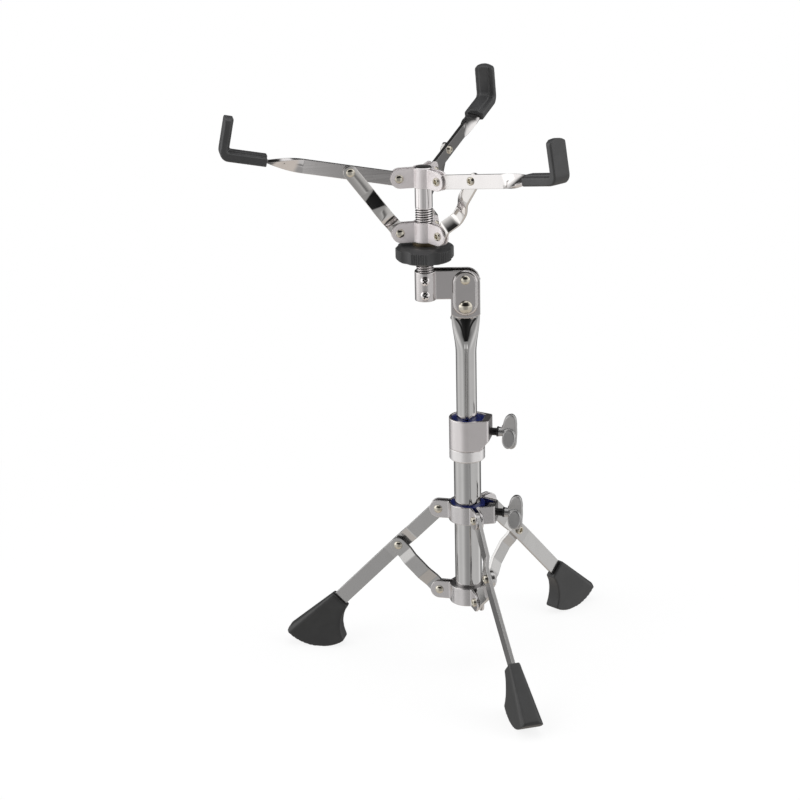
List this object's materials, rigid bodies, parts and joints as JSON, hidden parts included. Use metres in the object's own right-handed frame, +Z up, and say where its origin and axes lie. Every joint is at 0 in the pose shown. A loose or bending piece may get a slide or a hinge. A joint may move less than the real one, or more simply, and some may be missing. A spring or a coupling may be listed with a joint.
{
  "type": "snare drum stand",
  "caption": "Folding tripod stand with a telescoping tube, a tilter and a screw-clamped basket of hinged arms with rubber grips that holds a snare drum.",
  "frame": {"origin": "on the floor under the column's axis", "axes": "+Z up along the column, +X to the side of the wing bolts, +Y to the back of the tilter"},
  "size_m": [0.3441, 0.343, 0.5431],
  "materials": {
    "bright_chrome": "polished chrome plate",
    "satin_chrome": "chrome plate on rolled strip, slightly satin",
    "satin_casting": "satin plated zinc casting",
    "satin_steel": "satin plated steel",
    "nickel": "bright nickel plate",
    "blue_nylon": "moulded nylon",
    "black_plastic": "moulded, matt",
    "rubber": "matt moulded rubber",
    "brass": "turned"
  },
  "bodies": {
    "column": {"lower_tube": "bright_chrome", "height_collar": "satin_casting", "collar_ring": "satin_casting", "height_bush": "blue_nylon", "base_hub_core": "satin_steel", "base_hub_plate_1": "satin_chrome", "base_hub_plate_2": "satin_chrome", "base_hub_plate_3": "satin_chrome", "base_hub_rivets": "nickel"},
    "leg_collar": {"leg_collar_plate_1": "satin_chrome", "leg_collar_plate_2": "satin_chrome", "leg_clamp_plate": "satin_chrome", "leg_collar_bush": "blue_nylon", "leg_clamp_block": "satin_steel", "leg_collar_rivets": "nickel"},
    "leg_bolt": {"leg_wing_bolt": "satin_steel"},
    "height_bolt": {"height_wing_bolt": "satin_steel"},
    "post_slider": {"post_guide": "black_plastic"},
    "post": {"upper_tube": "bright_chrome", "tilt_bolt": "nickel", "tilt_washers": "black_plastic"},
    "tilt_nut": {"tilt_wing_nut": "satin_steel"},
    "tilter": {"tilter_bracket": "satin_chrome", "tilter_rivet": "nickel", "basket_stem": "bright_chrome", "stem_screws": "nickel", "upper_hub_plate_1": "satin_chrome", "upper_hub_plate_2": "satin_chrome", "upper_hub_plate_3": "satin_chrome", "arm_pivot_rivets": "nickel"},
    "lower_hub": {"lower_hub_plate_1": "satin_chrome", "lower_hub_plate_2": "satin_chrome", "lower_hub_plate_3": "satin_chrome", "link_pivot_rivets": "nickel"},
    "knob": {"basket_knob": "black_plastic", "knob_insert": "brass"},
    "brace_left": {"brace_left": "satin_chrome", "knee_rivet_left": "nickel"},
    "leg_left": {"leg_left": "satin_chrome", "foot_left": "rubber"},
    "brace_front": {"brace_front": "satin_chrome", "knee_rivet_front": "nickel"},
    "leg_front": {"leg_front": "satin_chrome", "foot_front": "rubber"},
    "brace_right": {"brace_right": "satin_chrome", "knee_rivet_right": "nickel"},
    "leg_right": {"leg_right": "satin_chrome", "foot_right": "rubber"},
    "arm_left": {"arm_left": "satin_chrome", "grip_left": "rubber", "link_rivet_left": "nickel"},
    "link_left": {"link_left": "satin_chrome"},
    "arm_right": {"arm_right": "satin_chrome", "grip_right": "rubber", "link_rivet_right": "nickel"},
    "link_right": {"link_right": "satin_chrome"},
    "arm_rear": {"arm_rear": "satin_chrome", "grip_rear": "rubber", "link_rivet_rear": "nickel"},
    "link_rear": {"link_rear": "satin_chrome"}
  },
  "joints": [
    {"name": "leg_collar_slide", "type": "slide", "parent": "column", "child": "leg_collar", "axis": [0, 0, 1], "range_m": [-0.004, 0.032]},
    {"name": "leg_bolt_turn", "type": "hinge", "parent": "leg_collar", "child": "leg_bolt", "pos_m": [0.02925, -0.00665, 0.1515], "axis": [0.9751, -0.2215, 0], "range_deg": [0, 360]},
    {"name": "height_bolt_turn", "type": "hinge", "parent": "column", "child": "height_bolt", "pos_m": [0.02934, -0.00624, 0.2321], "axis": [0.9781, -0.2079, 0], "range_deg": [0, 360]},
    {"name": "height_slide", "type": "slide", "parent": "column", "child": "post_slider", "axis": [0, 0, 1], "range_m": [-0.066, 0.07]},
    {"name": "post_swivel", "type": "hinge", "parent": "post_slider", "child": "post", "pos_m": [0, 0, 0.134], "axis": [0, 0, 1], "continuous": true},
    {"name": "tilt", "type": "hinge", "parent": "post", "child": "tilter", "pos_m": [0, 0, 0.354], "axis": [0, -1, 0], "range_deg": [-75, 70]},
    {"name": "tilt_nut_turn", "type": "hinge", "parent": "post", "child": "tilt_nut", "pos_m": [0, 0.012, 0.354], "axis": [0, 1, 0], "range_deg": [0, 360]},
    {"name": "knob_turn", "type": "hinge", "parent": "lower_hub", "child": "knob", "pos_m": [-0.0364, -0.004, 0.407], "axis": [0, 0, 1], "range_deg": [-735, 3275]},
    {"name": "lower_hub_slide", "type": "slide", "parent": "tilter", "child": "lower_hub", "axis": [0, 0, 1], "range_m": [-0.004, 0.018]},
    {"name": "brace_left_hinge", "type": "hinge", "parent": "column", "child": "brace_left", "pos_m": [-0.0273, 0.0062, 0.068], "axis": [-0.2215, -0.9751, 0], "range_deg": [-31.5, 4.4]},
    {"name": "leg_left_hinge", "type": "hinge", "parent": "brace_left", "child": "leg_left", "pos_m": [-0.0665, 0.01511, 0.10975], "axis": [-0.2215, -0.9751, 0], "range_deg": [-8.2, 62.6]},
    {"name": "brace_front_hinge", "type": "hinge", "parent": "column", "child": "brace_front", "pos_m": [0.00828, -0.02675, 0.068], "axis": [0.9553, 0.2957, 0], "range_deg": [-31.5, 4.4]},
    {"name": "leg_front_hinge", "type": "hinge", "parent": "brace_front", "child": "leg_front", "pos_m": [0.02017, -0.06515, 0.10975], "axis": [0.9553, 0.2957, 0], "range_deg": [-8.2, 62.6]},
    {"name": "brace_right_hinge", "type": "hinge", "parent": "column", "child": "brace_right", "pos_m": [0.01902, 0.02054, 0.068], "axis": [-0.7337, 0.6794, 0], "range_deg": [-31.5, 4.4]},
    {"name": "leg_right_hinge", "type": "hinge", "parent": "brace_right", "child": "leg_right", "pos_m": [0.04634, 0.05004, 0.10975], "axis": [-0.7337, 0.6794, 0], "range_deg": [-8.2, 62.6]},
    {"name": "arm_left_hinge", "type": "hinge", "parent": "tilter", "child": "arm_left", "pos_m": [-0.05844, -0.008, 0.4766], "axis": [0.1788, -0.9839, 0], "range_deg": [-39, 9.2]},
    {"name": "link_left_hinge", "type": "hinge", "parent": "arm_left", "child": "link_left", "pos_m": [-0.10155, -0.01584, 0.48544], "axis": [0.1788, -0.9839, 0], "range_deg": [-6.2, 25.8]},
    {"name": "arm_right_hinge", "type": "hinge", "parent": "tilter", "child": "arm_right", "pos_m": [-0.02191, -0.02108, 0.4766], "axis": [0.7627, 0.6468, 0], "range_deg": [-39, 9.2]},
    {"name": "link_right_hinge", "type": "hinge", "parent": "arm_right", "child": "link_right", "pos_m": [0.00643, -0.0545, 0.48544], "axis": [0.7627, 0.6468, 0], "range_deg": [-6.2, 25.8]},
    {"name": "arm_rear_hinge", "type": "hinge", "parent": "tilter", "child": "arm_rear", "pos_m": [-0.02885, 0.01709, 0.4766], "axis": [-0.9415, 0.3371, 0], "range_deg": [-39, 9.2]},
    {"name": "link_rear_hinge", "type": "hinge", "parent": "arm_rear", "child": "link_rear", "pos_m": [-0.01408, 0.05834, 0.48544], "axis": [-0.9415, 0.3371, 0], "range_deg": [-6.2, 25.8]}
  ],
  "couplings": [
    {"joint": "knob_turn", "follows": "lower_hub_slide", "rad_per_m": 3141.6},
    {"joint": "brace_left_hinge", "follows": "leg_collar_slide", "rad_per_m": -16.9},
    {"joint": "leg_left_hinge", "follows": "leg_collar_slide", "rad_per_m": 33.8},
    {"joint": "brace_front_hinge", "follows": "leg_collar_slide", "rad_per_m": -16.9},
    {"joint": "leg_front_hinge", "follows": "leg_collar_slide", "rad_per_m": 33.8},
    {"joint": "brace_right_hinge", "follows": "leg_collar_slide", "rad_per_m": -16.9},
    {"joint": "leg_right_hinge", "follows": "leg_collar_slide", "rad_per_m": 33.8},
    {"joint": "arm_left_hinge", "follows": "lower_hub_slide", "rad_per_m": -37.28},
    {"joint": "link_left_hinge", "follows": "lower_hub_slide", "rad_per_m": 24.48},
    {"joint": "arm_right_hinge", "follows": "lower_hub_slide", "rad_per_m": -37.28},
    {"joint": "link_right_hinge", "follows": "lower_hub_slide", "rad_per_m": 24.48},
    {"joint": "arm_rear_hinge", "follows": "lower_hub_slide", "rad_per_m": -37.28},
    {"joint": "link_rear_hinge", "follows": "lower_hub_slide", "rad_per_m": 24.48}
  ]
}
